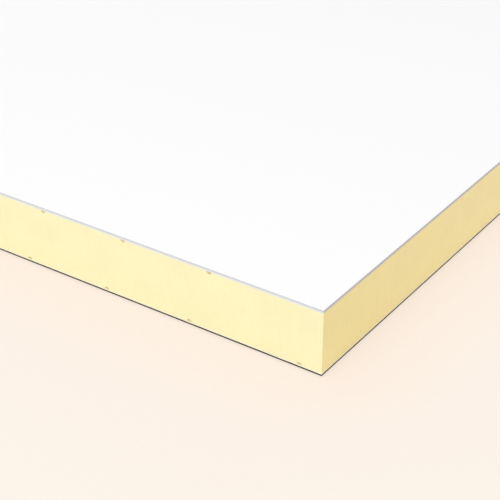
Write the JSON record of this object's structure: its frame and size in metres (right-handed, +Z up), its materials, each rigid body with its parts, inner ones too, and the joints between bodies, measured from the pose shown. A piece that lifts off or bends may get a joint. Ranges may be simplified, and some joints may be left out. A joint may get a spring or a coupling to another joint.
{
  "type": "fiberglass sandwich panel",
  "caption": "Flat stock sandwich panel: glass-fibre reinforced plastic skins glued to a rigid foam core with square sawn edges, for bodies, doors and partitions.",
  "frame": {"origin": "centre of the panel's underside, on the floor that it lies on", "axes": "+Y along the panel's length and its glue lines, +X across its width, +Z up through its thickness"},
  "size_m": [1.22, 2.44, 0.05],
  "materials": {
    "grp_white_skin": "white gelcoat over glass-fibre laminate, satin gloss",
    "grp_dark_skin": "dark grey gelcoat over glass-fibre laminate, satin gloss",
    "pu_foam": "sawn closed-cell rigid foam, pale yellow, matt",
    "pu_adhesive": "set adhesive, tan"
  },
  "bodies": {
    "root": {"bottom_skin": "grp_dark_skin", "foam_core": "pu_foam", "upper_glue_lines": "pu_adhesive", "lower_glue_lines": "pu_adhesive", "top_skin": "grp_white_skin"}
  },
  "joints": []
}
